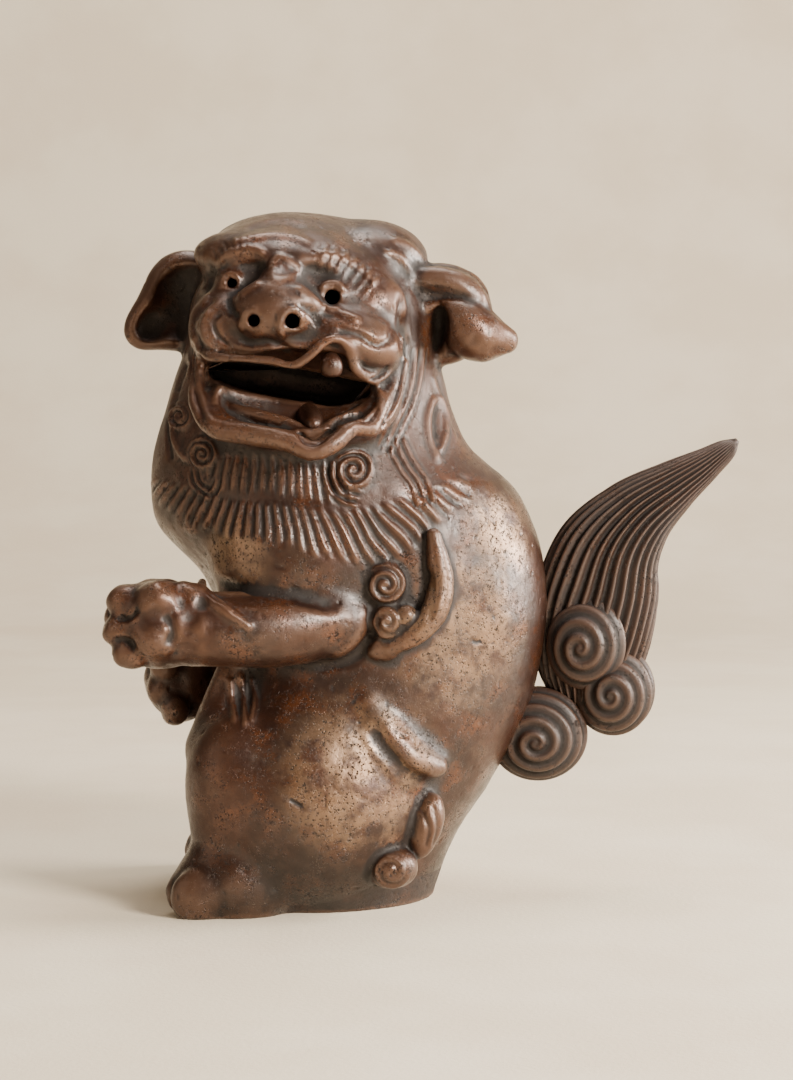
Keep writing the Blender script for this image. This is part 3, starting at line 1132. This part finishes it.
DARK_CLAY = (0.017, 0.0060, 0.0032)
MID_CLAY = (0.050, 0.0185, 0.0095)
FLUSH_CLAY = (0.150, 0.046, 0.0130)
GREY_CLAY = (0.070, 0.040, 0.026)
WORN_CLAY = (0.150, 0.074, 0.043)
SUNK_CLAY = (0.006, 0.0032, 0.0022)
BLACK_SPECK = (0.006, 0.004, 0.003)
PALE_SPECK = (0.34, 0.27, 0.21)
ASH_CLAY = (0.300, 0.185, 0.110)
# Where ash settled and glossed the clay: centre and reach in millimetres.
ASH_PATCHES = [((18.0, -19.0, 38.0), 14.0), ((3.5, -22.0, 19.5), 14.0), ((24.0, -12.0, 52.0), 9.0),
               ((30.0, 8.0, 40.0), 11.0), ((6.0, 22.0, 24.0), 12.0), ((-14.0, -17.0, 48.0), 7.0)]


# Each finish of the clay: its gloss, how much darker it is, and its flush.
CLAYS = {"body_clay": (1.0, 0.0, 1.0), "mane_clay": (0.6, 0.0, 0.7), "tail_clay": (0.40, 0.45, 0.5),
         "slab_clay": (0.25, 0.15, 0.6)}


def floor_finish(where, worn):
    """Pale matt plaster, faintly mottled and grained."""
    mottle = noise(where, 0.02, 4.0, 0.6)
    grain_height = noise(where, 1.2, 4.0, 0.6)
    colour = blend(mottle.ramp(0.35, 0.65), (0.72, 0.61, 0.46), (0.78, 0.68, 0.53))
    return colour, mottle.ramp(0.3, 0.7, 0.78, 0.88), 0.0, 0.0, grain_height * 0.05

# ---- The fused body: meshed, detailed, then cut into its luted pieces ----
low = np.array([CROWN[0] - 30, -28.0, floor_level - 1.5])
high = np.array([CROWN[0] + 35, 26.0, CROWN[2] + 3.0])
points, tris = mesh_of(statue, low, high, COARSE)
points = settle(statue, points, 2)
tris = outward(points, tris, statue)
points, tris = quarter(points, tris)
points = settle(statue, points, 1)
smooth = slope(statue, points)
lift = lift_of(points, smooth)
lift *= ease(points[:, 2], floor_level + 0.2, floor_level + 1.2)
base = points
points = points + smooth * lift[:, None]
normals = mesh_normals(points, tris)
worn = wear(points, tris, normals)
shape = (points, np.column_stack([normals, worn, base]), tris)


finishes = {name: finish(name, stoneware, *amounts) for name, amounts in CLAYS.items()}


def dress(obj, node, slot):
    """Finishes a piece and puts it in its node's place."""
    obj.data.materials.append(finishes[slot])
    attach(obj, "root")
    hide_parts(node)


def place(name, part, slot, depth):
    """Makes one closed piece from a patch of the body."""
    points, values, tris = closed(part, depth)
    obj = make_object(name, points, tris, values[:, :3])
    fill_worn(obj, values[:, 3])
    dress(obj, name, slot)


def both(*fields):
    """The clay that all of some fields hold."""
    return lambda p: np.max([field(p) for field in fields], axis=0)


def past(axis, level):
    """All that lies past a level along an axis."""
    return lambda p: level - p[:, axis]


def before(axis, level):
    """All that lies before a level along an axis."""
    return lambda p: p[:, axis] - level


def on_side(field, side):
    """A near-side field as it stands on one flank only (-1 near, 1 far)."""
    return lambda p: np.maximum(field(both_sides(p)), -side * p[:, 1] + 3.0)


jaw = Ball(by(CROWN, -1.3, -16.0, -27.4), (16.0, 12.6, 8.0)).field
thigh = Ball(by(HAUNCH, -2.0, -1.5, 0.0), (18.0, 9.0, 15.0)).field
# The luted pieces in the order that they are cut off: name, slot, field of the smooth form, how far outside it the
# seam runs, and how deep the cap inside may be sunk.
CUTS = [
    ("left_foreleg", "body_clay",
     both(lambda p: np.minimum(near_foreleg(p), WRIST_FOLD.field(p)), before(1, CROWN[1] - 13.6)), 0.5, 4.0),
    ("right_foreleg", "body_clay", both(far_foreleg, before(0, CROWN[0] - 8.5)), 0.5, 4.0),
    ("right_ear", "body_clay", both(far_ear, before(0, CROWN[0] - 15.2)), 0.4, 2.0),
    ("left_ear", "body_clay", both(near_ear, past(0, CROWN[0] + 13.2)), 0.4, 2.0),
    *((f"{word}_{name}", "body_clay", on_side(field, side), margin, depth)
      for side, word in ((-1, "left"), (1, "right"))
      for name, field, margin, depth in (
          ("shoulder_curls", curl_bosses, 0.25, 3.0), ("shoulder_flame", flame, 0.25, 5.0),
          ("hock_tuft", hock_tuft, 0.25, 3.0), ("hind_foot", hind_foot, 0.4, 4.0), ("haunch", thigh, 0.0, 10.0))),
    ("lower_jaw", "body_clay", both(jaw, before(2, CROWN[2] - 23.2)), 0.0, 10.0),
    ("base_slab", "slab_clay", before(2, slab_top), 0.0, 0.0),
    ("face_mask", "body_clay", both(past(2, neck_top), before(1, CROWN[1] - 4.0)), 0.0, 0.0),
    ("skull_cap", "mane_clay", past(2, neck_top), 0.0, 3.0),
    ("mane_collar", "mane_clay", past(2, mane_seam), 0.0, 9.0),
    ("body_left_shell", "body_clay", before(1, CROWN[1]), 0.0, 9.0),
]
for name, slot, field, margin, depth in CUTS:
    part, shape = split(shape, field(shape[1][:, 4:]) - margin)
    place(name, part, slot, depth)
place("body_right_shell", shape, "body_clay", 9.0)

# ---- The tail, the fangs and the tongue ----
dress(tail_plume("tail_plume", by(middle("tail_plume"), -6.0, -0.4, -17.7)), "tail_plume", "tail_clay")
# The tail's curls: offset from the node's middle, half sizes, the spiral's pole, rings, depth and turn.
for name, offset, *curl in (
    ("tail_curl_upper", (1.3, 0.1, -0.3), (5.8, 5.2, 6.6), (-0.25, -1.0, -0.05), 8, 0.22, 1),
    ("tail_curl_rear", (0.0, -1.0, 0.0), (5.6, 5.3, 6.2), (-0.15, -1.0, -0.05), 8, 0.22, -1),
    ("tail_curl_lower", (-1.1, -0.8, 0.0), (6.8, 6.1, 6.4), (-0.1, -1.0, -0.1), 9, 0.24, 1),
):
    dress(spiral_ball(name, by(middle(name), *offset), *curl), name, "tail_clay")
for name, line, radii in (
    ("upper_fangs", [(2.9, -19.4, -19.6), (2.9, -20.2, -20.6), (2.9, -20.0, -22.2)], [1.0, 1.5, 1.3]),
    ("tongue", [(-0.6, -12.0, -27.0), (0.2, -17.6, -28.0), (0.7, -21.6, -28.5)], [1.6, 1.5, 1.15]),
):
    dress(drop(name, [by(CROWN, *offset) for offset in line], radii), name, "body_clay")

# ---- Studio ----
backdrop = floor_sheet()
backdrop.data.materials.append(finish("pale_plaster", floor_finish))
# Lamps: place and aim in metres, side in metres, power in watts, and colour.
soft_lamp("key", (0.42, -0.42, 0.28), (0, 0, 0.05), 0.17, 9.2, (1.0, 0.93, 0.83))
soft_lamp("warm_fill", (-0.50, -0.34, 0.16), (0, 0, 0.05), 0.45, 0.8, (1.0, 0.80, 0.60))
soft_lamp("top", (0.04, 0.12, 0.62), (0, 0, 0.06), 0.34, 3.2, (1.0, 0.95, 0.88))
soft_lamp("edge", (0.52, 0.05, 0.16), (0, 0, 0.05), 0.24, 7.5, (1.0, 0.93, 0.84))
world = bpy.data.worlds.new("studio")
bpy.context.scene.world = world
world.use_nodes = True
sky = world.node_tree.nodes["Background"].inputs
sky["Color"].default_value = (1.0, 0.90, 0.76, 1.0)
sky["Strength"].default_value = 0.13
camera()
